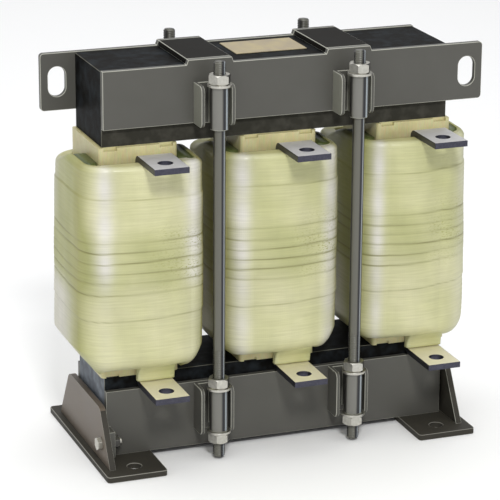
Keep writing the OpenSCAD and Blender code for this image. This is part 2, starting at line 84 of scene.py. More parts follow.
def write_fields(piece, shape, **fields):
    """Stores one number for each point of a grid under each name, for the finish to read."""
    for label, field in fields.items():
        layer = piece.data.attributes.new(label, "FLOAT", "POINT")
        layer.data.foreach_set("value", np.broadcast_to(field, shape).astype(np.float32).ravel())


def report(piece):
    """Prints a piece's size in millimetres and its count of faces."""
    points = np.zeros(len(piece.data.vertices) * 3)
    piece.data.vertices.foreach_get("co", points)
    points = points.reshape(-1, 3) / MM
    low, high = points.min(0).round(1).tolist(), points.max(0).round(1).tolist()
    print(piece.name, "from", low, "to", high, len(piece.data.polygons), "faces")


# %% [markdown]
# Sheet and bar parts, sleeves, nuts and washers already have their right outline in the CAD
# model. So a copy of the node's mesh is welded, its flat triangles are dissolved into whole
# faces, and a Bevel modifier breaks the sharp edges. The bevel's faces can take a finish of
# their own.
# %% Rounded copies of CAD nodes
WELD_DISTANCE = 0.01 * MM
FLAT_ANGLE = 0.02
SHARP_ANGLE = np.radians(30)


def rounded_copy(name, node, width, segments=2, edge_slot=0):
    """Copies a node's mesh, welds it, dissolves flat faces, and bevels edges over 30 degrees
    by width millimetres. edge_slot is the material slot for the bevel's own faces."""
    net = bmesh.new()
    net.from_mesh(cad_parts[node].data)
    bmesh.ops.remove_doubles(net, verts=net.verts, dist=WELD_DISTANCE)
    bmesh.ops.dissolve_limit(net, angle_limit=FLAT_ANGLE, verts=net.verts, edges=net.edges)
    mesh = bpy.data.meshes.new(name)
    net.to_mesh(mesh)
    net.free()
    for extra in ("custom_normal", "sharp_face", "sharp_edge"):
        if extra in mesh.attributes:
            mesh.attributes.remove(mesh.attributes[extra])
    mesh.materials.clear()
    mesh.shade_smooth()
    piece = bpy.data.objects.new(name, mesh)
    bpy.context.scene.collection.objects.link(piece)
    bevel = piece.modifiers.new("broken edges", "BEVEL")
    bevel.width = width * MM
    bevel.segments = segments
    bevel.limit_method = "ANGLE"
    bevel.angle_limit = SHARP_ANGLE
    bevel.harden_normals = True
    bevel.material = edge_slot
    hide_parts(node)
    return piece


def mark_faces(piece, index, test):
    """Gives a material slot to each face whose outward direction passes the test, which
    takes all directions at once as an array (n, 3)."""
    flat = np.zeros(len(piece.data.polygons) * 3)
    piece.data.polygons.foreach_get("normal", flat)
    chosen = np.zeros(len(piece.data.polygons), np.int32)
    piece.data.polygons.foreach_get("material_index", chosen)
    chosen[test(flat.reshape(-1, 3))] = index
    piece.data.polygons.foreach_set("material_index", chosen)


def finish_with(piece, slot, *materials):
    """Gives a piece its materials and its body, and prints its size. slot is not used."""
    for material in materials:
        piece.data.materials.append(material)
    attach(piece, "root")
    report(piece)


# %% [markdown]
# ## Helpers for finishes
# A finish is a small net of nodes that ends in a Principled shader. Colours are written as
# the sRGB hex values that a painter would pick, and one function turns them into the linear
# light that the renderer adds up. One small function adds a node with its settings. A Mix
# node has sockets for every kind of data, so those for colours get names here.
# %% Colour and node helpers
COLOURS = {"data_type": "RGBA"}
COLOUR_PRODUCT = {"data_type": "RGBA", "blend_type": "MULTIPLY"}
FACTOR, FIRST, SECOND, MIXED = 0, 6, 7, 2


def linear(hex_colour):
    """sRGB to linear: below 0.04045 a straight line of slope 1/12.92, above it a power 2.4."""
    value = np.array([int(hex_colour[i:i + 2], 16) for i in (1, 3, 5)]) / 255
    lit = np.where(value <= 0.04045, value / 12.92, ((value + 0.055) / 1.055) ** 2.4)
    return (*lit.tolist(), 1.0)


def add(material, kind, settings=None, values=None, links=None):
    """Adds one node, sets its properties and its sockets, and links other nodes into it."""
    tree = material.node_tree
    node = tree.nodes.new(kind)
    for key, value in (settings or {}).items():
        setattr(node, key, value)
    for key, value in (values or {}).items():
        node.inputs[key].default_value = value
    for key, source in (links or {}).items():
        tree.links.new(source, node.inputs[key])
    return node


def new_finish(name):
    """An empty material with its Object coordinates, which count metres."""
    material = bpy.data.materials.new(name)
    material.use_nodes = True
    material.node_tree.nodes.clear()
    place = add(material, "ShaderNodeTexCoord").outputs["Object"]
    return material, place


def marks_of(*sizes):
    """The scale that gives marks of these sizes, in millimetres along X, Y and Z."""
    return tuple(1 / (size * MM) for size in sizes)


def streaks(material, place, scale, detail):
    """Noise on coordinates that are first multiplied by scale along X, Y and Z."""
    lay = add(material, "ShaderNodeMapping", values={"Scale": scale}, links={"Vector": place})
    return add(material, "ShaderNodeTexNoise", values={"Scale": 1.0, "Detail": detail},
               links={"Vector": lay.outputs[0]})


def close_finish(material, height, strength, depth, values, links):
    """Ends a finish: height times depth, in millimetres, lifts the surface, weakened by
    strength, and a Principled shader with the given values and links makes the colour."""
    relief = add(material, "ShaderNodeBump",
                 values={"Strength": strength, "Distance": depth * MM}, links={"Height": height})
    shader = add(material, "ShaderNodeBsdfPrincipled", values=values,
                 links={"Normal": relief.outputs["Normal"], **links})
    add(material, "ShaderNodeOutputMaterial", links={"Surface": shader.outputs[0]})
    print("finish:", material.name, "with", len(material.node_tree.nodes), "nodes")
    return material


# %% [markdown]
# ## Camera
# The photograph was taken with a long lens from the front left and a little above. The
# place, the turn and the focal length come from fitting known points of the part to the
# picture. A camera looks along its own minus Z, so its columns are right, up and backwards.
# %% The camera at the photograph's place
RIGHT = np.array([0.93693, -0.34948, 0.00601])
AHEAD = np.array([0.33465, 0.89196, -0.30400])
EYE = np.array([-711.24, -1868.45, 793.37]) * MM
FOCAL_PIXELS, PICTURE_PIXELS = 2497.2, 500
SENSOR_MM = 36


def place_matrix(x_axis, y_axis, z_axis, place):
    """Three axes and a place as the columns of a 4 by 4 matrix."""
    turn = np.eye(4)
    turn[:3, 0], turn[:3, 1], turn[:3, 2], turn[:3, 3] = x_axis, y_axis, z_axis, place
    return Matrix(turn.tolist())


lens = bpy.data.cameras.new("camera")
lens.sensor_width = SENSOR_MM
lens.lens = SENSOR_MM * FOCAL_PIXELS / PICTURE_PIXELS
lens.clip_end = 50
camera = bpy.data.objects.new("camera", lens)
camera.matrix_world = place_matrix(RIGHT, np.cross(RIGHT, AHEAD), -AHEAD, EYE)
bpy.context.scene.collection.objects.link(camera)
bpy.context.scene.camera = camera
print("lens", round(lens.lens, 1), "mm")

# %% [markdown]
# ## Floor and light
# The picture is a cut-out on white paper under soft light. A large pale floor runs under
# the whole view. Area lights work as softboxes. A small one high in front gives the coils'
# corners their shine. A broad one above lights the tops, a weak one behind lifts the
# floor, and an even sky fills the shadows.
# %% Floor, softboxes and sky
def make_floor():
    """A flat square of 12 metres, a hair under the feet."""
    mesh = bpy.data.meshes.new("floor")
    below = -0.1 * MM
    corners = [(-6, -6, below), (6, -6, below), (6, 6, below), (-6, 6, below)]
    mesh.from_pydata(corners, [], [[0, 1, 2, 3]])
    floor = bpy.data.objects.new("floor", mesh)
    bpy.context.scene.collection.objects.link(floor)
    paper, place = new_finish("matt white paper")
    grain = add(paper, "ShaderNodeTexNoise", values={"Scale": 400.0}, links={"Vector": place})
    close_finish(paper, grain.outputs["Fac"], 0.02, 0.2,
                 {"Base Color": linear("#f6f6f5"), "Roughness": 0.9}, {})
    mesh.materials.append(paper)


def softbox(name, place, aim, size, watts):
    """An area light at a place, turned so that its back points away from its aim."""
    light = bpy.data.lights.new(name, "AREA")
    light.shape = "RECTANGLE"
    light.size, light.size_y = size
    light.energy = watts
    back = np.array(place, float) - np.array(aim, float)
    back /= np.linalg.norm(back)
    side = np.cross([0, 0, 1], back)
    side /= np.linalg.norm(side)
    box = bpy.data.objects.new(name, light)
    box.matrix_world = place_matrix(side, np.cross(back, side), back, place)
    bpy.context.scene.collection.objects.link(box)
    print("softbox", name, size, "m,", watts, "W")


make_floor()
softbox("key", place=(-0.6, -2.4, 2.3), aim=(0, 0, 0.17), size=(0.5, 0.45), watts=50)
softbox("top", place=(0, 0.2, 2.8), aim=(0, 0, 0), size=(2.4, 2.0), watts=28)
softbox("back", place=(0.3, 1.8, 1.7), aim=(0.3, 1.3, 0), size=(3.2, 1.8), watts=9)
world = bpy.data.worlds.new("even sky")
world.use_nodes = True
sky = world.node_tree.nodes["Background"]
sky.inputs["Color"].default_value = linear("#fbfcff")
sky.inputs["Strength"].default_value = 0.57
bpy.context.scene.world = world
bpy.context.scene.view_settings.view_transform = "Standard"

# %% [markdown]
# ## Grey paint on plate steel
# The clamp plates, straps, brackets and feet are cut from hot-rolled plate and sprayed or
# dipped in a thin warm grey primer. The paint follows the scale of the plate, so it has a
# faint orange-peel surface, and it pulls back from every cut edge, which catches the light.
# The edges are painted paler, for the thin paint and as a painted highlight.
# %% Painted steel and its pale edges
def painted_steel(name, deep, pale, roughness=0.42, shine=0.4):
    """Paint between two near greys: broad clouds 40 mm across and fine peel 1.2 mm across."""
    material, place = new_finish(name)
    clouds = add(material, "ShaderNodeTexNoise", values={"Scale": 1 / (40 * MM), "Detail": 3.0},
                 links={"Vector": place})
    peel = add(material, "ShaderNodeTexNoise", values={"Scale": 1 / (1.2 * MM), "Detail": 2.0},
               links={"Vector": place})
    tone = add(material, "ShaderNodeMix", COLOURS, {FIRST: linear(deep), SECOND: linear(pale)},
               {FACTOR: clouds.outputs["Fac"]})
    gloss = add(material, "ShaderNodeMapRange",
                values={"To Min": roughness - 0.06, "To Max": roughness + 0.08},
                links={"Value": clouds.outputs["Fac"]})
    return close_finish(
        material, peel.outputs["Fac"], 0.12, 0.15, {"IOR": 1.5, "Specular IOR Level": shine},
        {"Base Color": tone.outputs[MIXED], "Roughness": gloss.outputs[0]})


clamp_paint = painted_steel("grey primer on plate", "#4b4a44", "#565550")
foot_paint = painted_steel("brown grey primer on feet", "#5a5046", "#6e6356")
# A darker copy of the primer: painted shade on the feet.
shaded_foot_plate_paint = painted_steel("primer darkened as painted shade on foot plates", "#302e28", "#3e3b34", 0.55, 0.2)
# Pale foot edges: thinner paint and a painted highlight.
foot_edge_and_highlight = painted_steel("thin primer and painted highlight on foot edges", "#77756c", "#8f8d84", 0.4)
# A darker copy of the primer: painted shade for the straps' tops.
strap_paint_in_shade = painted_steel("primer darkened as painted shade on straps", "#12110e", "#1d1b17", 0.65, 0.1)
# A paler copy of the primer: painted light on sides that face left.
lit_side_paint = painted_steel("primer with painted light on bracket sides", "#77776c", "#8c8c80")
# Pale edge finish: thinner paint, and a painted highlight along every bevel.
thin_edge_and_highlight = painted_steel("thin primer and painted highlight on cut edges", "#96968a", "#b4b4a8", 0.35)

# %% [markdown]
# ## Sheet iron of the core
# The core is a pile of stamped sheets, 0.5 mm each, pressed together and dipped in black
# varnish. Across the pile the sheets show as fine lines. At the size of this picture half
# a millimetre is too fine, so the lines are drawn 2 mm apart, as groups of sheets. A Wave
# texture's period is 0.314 divided by its scale.
# %% Varnished core sheet
WAVE_PERIOD = 0.314


def core_sheet(name, deep, pale):
    """Lines across the pile: a sine of Y with a 2 mm period. The tone follows the product of
    noise that is long along the sheets and short across them, and of blots 9 mm across."""
    material, place = new_finish(name)
    streak = streaks(material, place, marks_of(60, 1.5, 60), 4.0)
    lines = add(material, "ShaderNodeTexWave",
                {"wave_type": "BANDS", "bands_direction": "Y"},
                {"Scale": WAVE_PERIOD / (2 * MM), "Distortion": 0.6, "Detail": 1.0},
                {"Vector": place})
    blots = add(material, "ShaderNodeTexNoise",
                values={"Scale": 1 / (9 * MM), "Detail": 2.0, "Roughness": 0.5},
                links={"Vector": place})
    patch = add(material, "ShaderNodeMapRange", values={"From Min": 0.4, "From Max": 0.75},
                links={"Value": blots.outputs["Fac"]})
    mask = add(material, "ShaderNodeMath", {"operation": "MULTIPLY"},
               links={0: streak.outputs["Fac"], 1: patch.outputs[0]})
    tone = add(material, "ShaderNodeMix", COLOURS, {FIRST: linear(deep), SECOND: linear(pale)},
               {FACTOR: mask.outputs[0]})
    return close_finish(
        material, lines.outputs["Fac"], 0.35, 0.3,
        {"IOR": 1.52, "Roughness": 0.55, "Specular IOR Level": 0.04},
        {"Base Color": tone.outputs[MIXED]})


# The pale blue-grey streaks in the black varnish are painted reflections.
core_iron = core_sheet("black varnish on core sheet", "#0d0c0a", "#2d3338")
lit_core_front = core_sheet("core sheet with painted light on its front", "#34332d", "#504e47")
reflecting_core_end = core_sheet("core sheet end with painted reflection", "#686d74", "#9da4ab")
rubbed_and_lit_core_edge = core_sheet("rubbed core sheet edge with painted highlight", "#5a594f", "#8c8c84")

# %% [markdown]
# ## Insulating board
# Each coil sits on a square tube of cream laminate board. Its surface has fine fibres, and
# resin that ran down while the coil was dipped leaves amber stains.
# %% Laminate board
def laminate_board():
    """Cream board: fibres 0.8 mm wide and 8 mm long multiply stains about 12 mm across."""
    material, place = new_finish("cream laminate board")
    fibre = streaks(material, place, marks_of(0.8, 0.8, 8), 3.0)
    stain = add(material, "ShaderNodeTexNoise", values={"Scale": 1 / (12 * MM), "Detail": 4.0},
                links={"Vector": place})
    base = add(material, "ShaderNodeMix", COLOURS,
               {FIRST: linear("#c4b87c"), SECOND: linear("#e6dfae")},
               {FACTOR: stain.outputs["Fac"]})
    tone = add(material, "ShaderNodeMix", COLOUR_PRODUCT, {FACTOR: 0.3},
               {FIRST: base.outputs[MIXED], SECOND: fibre.outputs["Color"]})
    return close_finish(material, fibre.outputs["Fac"], 0.2, 0.2,
                        {"IOR": 1.55, "Roughness": 0.42}, {"Base Color": tone.outputs[MIXED]})


board = laminate_board()

# %% [markdown]
# ## Glass tape and resin
# The winding is wrapped in woven glass tape and then dipped in clear polyester resin. The
# glass turns half clear where it is soaked, so the green of the tape and the amber of the
# resin show together, paler where air stays in the weave. The tape's weave follows the
# coil, so its pattern reads the piece's own UV map, which counts millimetres round the coil
# and up it. Real threads are finer than this picture shows, so they are drawn 1.6 mm apart.
# Five values from the mesh say where the tape is wet, milky, flecked, grooved or shaded.
# %% Taped and varnished coil
def glass_tape():
    """Warm green tape between two dry tones, in clouds 30 mm across. Wet and milky places
    mix in their colours. Lines along the tape and broad patches multiply the tone by 0.9 or
    0.93 up to 1.04. Then come flecks, grooves and shade, and shade takes the shine away.
    The surface rises with the sum of warp, weft and lines."""
    material, place = new_finish("varnished glass tape")
    cloth = add(material, "ShaderNodeUVMap", {"uv_map": "tape"}).outputs[0]
    field = {label: add(material, "ShaderNodeAttribute", {"attribute_name": label}).outputs["Fac"]
             for label in ("groove", "wet", "milky", "shade", "speck")}
    clouds = add(material, "ShaderNodeTexNoise", values={"Scale": 1 / (30 * MM), "Detail": 3.0},
                 links={"Vector": place})
    lines = streaks(material, cloth, (0.03, 0.7, 1.0), 4.0)
    drift = streaks(material, cloth, (1 / 22, 1 / 60, 1.0), 2.0)
    dots = streaks(material, cloth, (0.45, 0.9, 1.0), 1.0)
    spots = add(material, "ShaderNodeMapRange", values={"From Min": 0.56, "From Max": 0.68},
                links={"Value": dots.outputs["Fac"]})
    flecks = add(material, "ShaderNodeMath", {"operation": "MULTIPLY"},
                 links={0: spots.outputs[0], 1: field["speck"]})
    tone = add(material, "ShaderNodeMix", COLOURS,
               {FIRST: linear("#c2c28f"), SECOND: linear("#d0cca7")},
               {FACTOR: clouds.outputs["Fac"]})
    for mask, colour in ((field["wet"], "#a5a76b"), (field["milky"], "#d9d6cc")):
        tone = add(material, "ShaderNodeMix", COLOURS, {SECOND: linear(colour)},
                   {FACTOR: mask, FIRST: tone.outputs[MIXED]})
    for noise, start, end, darkest in ((lines, 0.3, 0.7, 0.9), (drift, 0.35, 0.65, 0.93)):
        level = add(material, "ShaderNodeMapRange",
                    values={"From Min": start, "From Max": end, "To Min": darkest, "To Max": 1.04},
                    links={"Value": noise.outputs["Fac"]})
        tone = add(material, "ShaderNodeMix", COLOUR_PRODUCT, {FACTOR: 1.0},
                   {FIRST: tone.outputs[MIXED], SECOND: level.outputs[0]})
    for mask, colour in ((flecks.outputs[0], "#9a9a5c"), (field["groove"], "#787644"),
                         (field["shade"], "#988d52")):
        tone = add(material, "ShaderNodeMix", COLOURS, {SECOND: linear(colour)},
                   {FACTOR: mask, FIRST: tone.outputs[MIXED]})
    shine = add(material, "ShaderNodeMapRange",
                values={"From Min": 0.0, "From Max": 0.45, "To Min": 0.38, "To Max": 0.04},
                links={"Value": field["shade"]})
    height = lines
    for direction in ("X", "Y"):
        thread = add(material, "ShaderNodeTexWave",
                     {"wave_type": "BANDS", "bands_direction": direction},
                     {"Scale": WAVE_PERIOD / 1.6, "Distortion": 1.0}, {"Vector": cloth})
        height = add(material, "ShaderNodeMath", {"operation": "ADD"},
                     links={0: height.outputs[0], 1: thread.outputs["Fac"]})
    return close_finish(
        material, height.outputs[0], 0.25, 0.12,
        {"IOR": 1.52, "Roughness": 0.42, "Coat Weight": 0.1, "Coat Roughness": 0.16,
         "Coat IOR": 1.55},
        {"Specular IOR Level": shine.outputs[0], "Base Color": tone.outputs[MIXED]})


tape = glass_tape()

# %% [markdown]
# The winding's end shows inside the mouth of the tape: wires under a thick coat of resin,
# which looks olive in the shade; its colour is darkened as painted shade. Streaks of one
# wire's width round the coil are enough.
# %% Resin over the winding
def resin_winding_in_shade():
    """Olive resin over wire, darkened as painted shade: streaks of one wire's width, 1.6 mm, round
    the coil.
    """
    material, place = new_finish("resin-soaked winding with painted shade")
    wires = streaks(material, place, marks_of(20, 20, 1.6), 2.0)
    tone = add(material, "ShaderNodeMix", COLOURS,
               {FIRST: linear("#38421f"), SECOND: linear("#66703c")},
               {FACTOR: wires.outputs["Fac"]})
    return close_finish(material, wires.outputs["Fac"], 0.3, 0.3,
                        {"IOR": 1.55, "Roughness": 0.35}, {"Base Color": tone.outputs[MIXED]})


resin = resin_winding_in_shade()

# %% [markdown]
# ## Tinned copper and zinc
# The terminals are flat copper bar, tinned: soft silver with a faint brushed grain. Nuts,
# washers and bolts are zinc plated and nearly white where light falls on a flat.
# %% Metal finishes
def metal(name, deep, pale, roughness, grain):
    """Metal between two tones, with noise stretched by grain, the size of one streak in
    millimetres along X, Y and Z. Roughness swings by 0.12 to both sides."""
    material, place = new_finish(name)
    streak = streaks(material, place, marks_of(*grain), 3.0)
    tone = add(material, "ShaderNodeMix", COLOURS, {FIRST: linear(deep), SECOND: linear(pale)},
               {FACTOR: streak.outputs["Fac"]})
    gloss = add(material, "ShaderNodeMapRange",
                values={"To Min": roughness - 0.12, "To Max": roughness + 0.12},
                links={"Value": streak.outputs["Fac"]})
    return close_finish(
        material, streak.outputs["Fac"], 0.1, 0.05, {"Metallic": 1.0},
        {"Base Color": tone.outputs[MIXED], "Roughness": gloss.outputs[0]})


tin = metal("tinned copper", "#d2d1d2", "#e6e5e3", 0.66, (12, 1.0, 1.0))
tin_edge_and_shade = metal("sheared edge of tinned copper with painted shade", "#3a3a44", "#5e5e6a", 0.42, (1.5, 1.5, 1.5))
zinc = metal("bright zinc plate", "#a8a69e", "#dcdad1", 0.38, (2.5, 2.5, 2.5))
stained_tin = metal("resin-stained tin", "#ece7d2", "#f8f4e2", 0.7, (12, 1.0, 1.0))
# A grey copy of the zinc: painted shade.
zinc_in_painted_shade = metal("zinc plate with painted shade", "#4c4b49", "#6e6d6a", 0.42, (2.5, 2.5, 2.5))
label_metal = metal("bare label", "#a89b8c", "#cdc094", 0.5, (9, 14, 9))

# %% [markdown]
# ## Drawn steel of rods and sleeves
# The rods are plain drawn steel, oiled and dark, and the sleeves are painted tube. A studio
# full of softboxes shows in such a round part as upright bars, pale and dark. Here the bars
# are part of the finish, so few lights are enough. A bar's place counts from the axis,
# across the photograph's view, in radii.
# %% Steel with lengthwise bars
ROD_PLACES = [(-60, -62), (60, -62), (-60, 62), (60, 62)]
ROD_SPACING, ROD_DEPTH = 120, 62
VIEW_X, VIEW_Y = 0.937, 0.349


def steel_with_painted_reflections(name, deep, mid, pale, radius, roughness):
    """Across is (0.937 x - 0.349 y) / radius from a rod's axis, mirrored at the rear. Three
    bars of painted reflection lie over the deep tone: a broad one of the middle tone from
    -0.75 to 0.35, a pale one from 0.7 to 0.86 and a dark line from 0.45 to 0.62, each with
    soft edges."""
    material, place = new_finish(name)
    parts = add(material, "ShaderNodeSeparateXYZ", links={0: place})
    from_axis = []
    for axis, steps in (
            (0, (("DIVIDE", ROD_SPACING * MM), ("FRACT", 0.0), ("SUBTRACT", 0.5),
                 ("MULTIPLY", ROD_SPACING * VIEW_X / radius))),
            (1, (("ABSOLUTE", 0.0), ("SUBTRACT", ROD_DEPTH * MM),
                 ("MULTIPLY", VIEW_Y / (radius * MM))))):
        reading = parts.outputs[axis]
        for operation, number in steps:
            reading = add(material, "ShaderNodeMath", {"operation": operation}, {1: number},
                          {0: reading}).outputs[0]
        from_axis.append(reading)
    across = add(material, "ShaderNodeMath", {"operation": "ADD"},
                 links={0: from_axis[0], 1: from_axis[1]}).outputs[0]
    base = add(material, "ShaderNodeRGB")
    base.outputs[0].default_value = linear(deep)
    tone = base.outputs[0]
    smooth = {"interpolation_type": "SMOOTHSTEP"}
    for colour, start, end, soft in ((mid, -0.75, 0.35, 0.12), (pale, 0.7, 0.86, 0.05),
                                     ("#15171f", 0.45, 0.62, 0.05)):
        rise = add(material, "ShaderNodeMapRange", smooth,
                   {"From Min": start - soft, "From Max": start + soft}, {"Value": across})
        fall = add(material, "ShaderNodeMapRange", smooth,
                   {"From Min": end - soft, "From Max": end + soft, "To Min": 1.0, "To Max": 0.0},
                   {"Value": across})
        bar = add(material, "ShaderNodeMath", {"operation": "MULTIPLY"},
                  links={0: rise.outputs[0], 1: fall.outputs[0]})
        tone = add(material, "ShaderNodeMix", COLOURS, {SECOND: linear(colour)},
                   {FACTOR: bar.outputs[0], FIRST: tone}).outputs[MIXED]
    streak = streaks(material, place, marks_of(1.5, 1.5, 60), 3.0)
    return close_finish(material, streak.outputs["Fac"], 0.1, 0.05,
                        {"IOR": 1.5, "Roughness": roughness}, {"Base Color": tone})


rod_steel = steel_with_painted_reflections("oiled drawn steel", "#1d1c19", "#5f5e55", "#8c9296", 5.0, 0.35)
sleeve_paint = steel_with_painted_reflections("grey primer on sleeves", "#2a2926", "#73726c", "#9aa3a8", 7.5, 0.34)

# %% [markdown]
# ## The taped coils
# Each coil is a winding wrapped in tape, so its corners are round, its broad faces bulge and
# its bands of tape lie over each other. A block with a round-edge modifier would look
# moulded. Instead the coil is one closed surface: a section, which runs down the outside and
# back up inside, is carried round a rounded rectangle, and small steps push it outwards.
# The corners that face outwards are rounder than those that face the next coil.
# %% The path round a coil
COIL_HALF = np.array([52.0, 57.0])
COIL_DEPTH = 19.0
BULGE = np.array([0.8, 4.3])
CORNER_SIGNS = np.array([[1, 1], [-1, 1], [-1, -1], [1, -1]], float)


def coil_path(corner_steps=30, face_steps=56):
    """Runs once round a rounded rectangle, counterclockwise from the +X side. For each point
    it gives the two corners that it lies between, how far it is from one to the other, its
    outward direction, and its share of the side and the front bulge, 1 - u squared."""
    first, second, share, outward, bulge = [], [], [], [], []
    for quarter in range(4):
        angle = np.radians(90 * quarter + np.linspace(0, 90, corner_steps))
        first.append(np.full(corner_steps, quarter))
        second.append(np.full(corner_steps, quarter))
        share.append(np.zeros(corner_steps))
        outward.append(np.stack([np.cos(angle), np.sin(angle)], axis=1))
        bulge.append(np.zeros((corner_steps, 2)))
        run = np.linspace(0, 1, face_steps + 2)[1:-1]
        first.append(np.full(face_steps, quarter))
        second.append(np.full(face_steps, (quarter + 1) % 4))
        share.append(run)
        facing = np.radians(90 * (quarter + 1))
        outward.append(np.tile([np.cos(facing), np.sin(facing)], (face_steps, 1)).round(12))
        rise = 1 - (2 * run - 1) ** 2
        front_or_rear = quarter in (0, 2)
        bulge.append(np.stack([rise * (not front_or_rear), rise * front_or_rear], axis=1))
    return [np.concatenate(part) for part in (first, second, share, outward, bulge)]


PATH = coil_path()
OUTWARD = PATH[3]
print("a coil's path has", len(OUTWARD), "points")


def coil_rings(corner_radii, inset, height):
    """Points of the coil for arrays of inset and height, shape (rows, points): the rounded
    rectangle moves in by the inset, its corner radii shrink with it to 1 mm at least, and
    the bulge fades. A face point is a mix of its two corner centres and radii."""
    first, second, share, outward, bulge = PATH
    inset_here = inset[..., None]
    radii = np.maximum(np.array(corner_radii, float) - inset_here, 1.0)
    centres = CORNER_SIGNS * (COIL_HALF - inset_here[..., None] - radii[..., None])
    pick = np.arange(len(first))
    radius = radii[:, pick, first] * (1 - share) + radii[:, pick, second] * share
    part = share[:, None]
    centre = centres[:, pick, first] * (1 - part) + centres[:, pick, second] * part
    swell = (bulge @ BULGE) * np.clip(1 - inset / COIL_DEPTH, 0, 1)
    flat = centre + radius[..., None] * outward + swell[..., None] * outward
    return np.concatenate([flat, height[..., None]], axis=2)


# %% [markdown]
# The section is measured from the photograph: six turns of tape leave grooves 8.6 mm apart
# between 150 and 193 mm above the floor, and a broader band covers 128 to 229 mm. The top
# rim is crisp. The lower rim draws in softly, most of all at the sides. Towards the rear
# the upper end is 12 mm lower and the lower end up to 12 mm higher.
# %% Section of the tape
COIL_LOW, COIL_HIGH = 84.25, 255.25
BAND_LOW, BAND_HIGH, BAND_RISE = 127.8, 228.7, 0.7
REAR_DROP, FLANGE_IN, INNER_WALL_IN, HEM_HEIGHT = 12.0, 13.1, 4.0, 22
FLANGE_ROWS, RIM_ROWS, WALL_ROWS = 6, 11, 156


def soft_step(x):
    """0 below 0, 1 above 1, and the smooth cubic 3x^2 - 2x^3 between."""
    x = np.clip(x, 0, 1)
    return x * x * (3 - 2 * x)


def bell(x, middle, width, power=2):
    """1 at the middle, falling to 0.37 at one width to each side. Power 4 is flatter."""
    return np.exp(-((x - middle) / width) ** power)


def rear_drop(depth):
    """How far the ends come together: 0 at the front, 12 mm from 36 mm behind the middle."""
    return REAR_DROP * soft_step((depth + 6) / 42)[None, :]


def coil_section(across, depth, draw, sag):
    """Inset, height and outside mask, shape (rows, points). The rims are quarter ellipses at
    the front and nearly straight chamfers at the sides: sin and cos to a power from 1 to
    1.75. The upper rim is 4 to 5 mm. The lower one is 11.5 by 14 mm, and up to 18.2 by 25
    where it is drawn in. draw says how far that is on the left and on the right, from 0, as
    at the front, to 1. The lower end sags by up to sag millimetres on the right."""
    sideways = np.abs(OUTWARD[:, 0])[None, :] ** 1.5
    drawn = sideways * np.where(OUTWARD[:, 0] < 0, draw[0], draw[1])[None, :]
    drop = rear_drop(depth)
    top_r = 4.0 + sideways
    low_w, low_h, power = 11.5 + 6.7 * drawn, 14.0 + 11.0 * drawn, 1 + 0.75 * drawn
    top = COIL_HIGH - drop
    low = COIL_LOW - 2.5 + drop * (1 - sideways) - 7.0 * drawn
    low = low - sag * soft_step(across / 45)[None, :]
    flange_in = FLANGE_IN - 6.7 * sideways * (1 - soft_step((depth - 8) / 12))[None, :]
    flange_share = np.linspace(0, 0.94, FLANGE_ROWS)[:, None]
    flange = flange_in + (BAND_RISE + top_r - flange_in) * flange_share
    quarter = np.linspace(0, np.pi / 2, RIM_ROWS)[:, None]
    top_inset = BAND_RISE + top_r * (1 - np.sin(quarter))
    top_height = top - top_r * (1 - np.cos(quarter))
    wall_share = np.linspace(0, 1, WALL_ROWS + 2)[1:-1, None]
    wall_height = (top - top_r) * (1 - wall_share) + (low + low_h) * wall_share
    quarter = quarter[::-1]
    low_inset = BAND_RISE + low_w * (1 - np.sin(quarter) ** power)
    low_height = low + low_h * (1 - np.cos(quarter).clip(0) ** power)
    hem = np.maximum(FLANGE_IN, low_w + BAND_RISE + 0.05)
    inner_wall = np.full_like(hem, INNER_WALL_IN)
    inset = np.concatenate([flange, top_inset, np.full_like(wall_height, BAND_RISE), low_inset,
                            hem, hem, inner_wall, inner_wall, flange_in])
    height = np.concatenate([np.tile(top, (FLANGE_ROWS, 1)), top_height, wall_height, low_height,
                             low, low + HEM_HEIGHT, low + HEM_HEIGHT, top - 4, top - 4])
    outside = np.zeros((len(inset), 1))
    outside[FLANGE_ROWS:FLANGE_ROWS + 2 * RIM_ROWS + WALL_ROWS] = 1
    return inset, height, outside


def lean(points, height, middle):
    """An outer coil's free side stands 2.6 mm in at its upper end and 1.4 mm out at its lower
    end. The move fades to nothing at the former's wall, 34 mm from the middle."""
    away = np.sign(middle)
    free = np.clip((points[..., 0] * away - 34) / 18, 0, 1)
    out = 4.0 * (COIL_HIGH - height) / 155 - 2.6
    return away * free * out * soft_step((height - 74.8) / 24)


# %% [markdown]
# The tape is pulled on by hand, so its grooves wander and slow waves of a fraction of a
# millimetre lie over it. A random generator with a fixed seed picks a few phases for them,
# which gives each coil its own face and yet the same one in every run.
# %% Relief of the tape
GROOVES = 150.0 + 8.6 * np.arange(6)
WAVES = [(0.16, 5, 19.0), (0.1, 9, 11.0), (0.06, 17, 31.0), (0.14, 2, 8.0)]


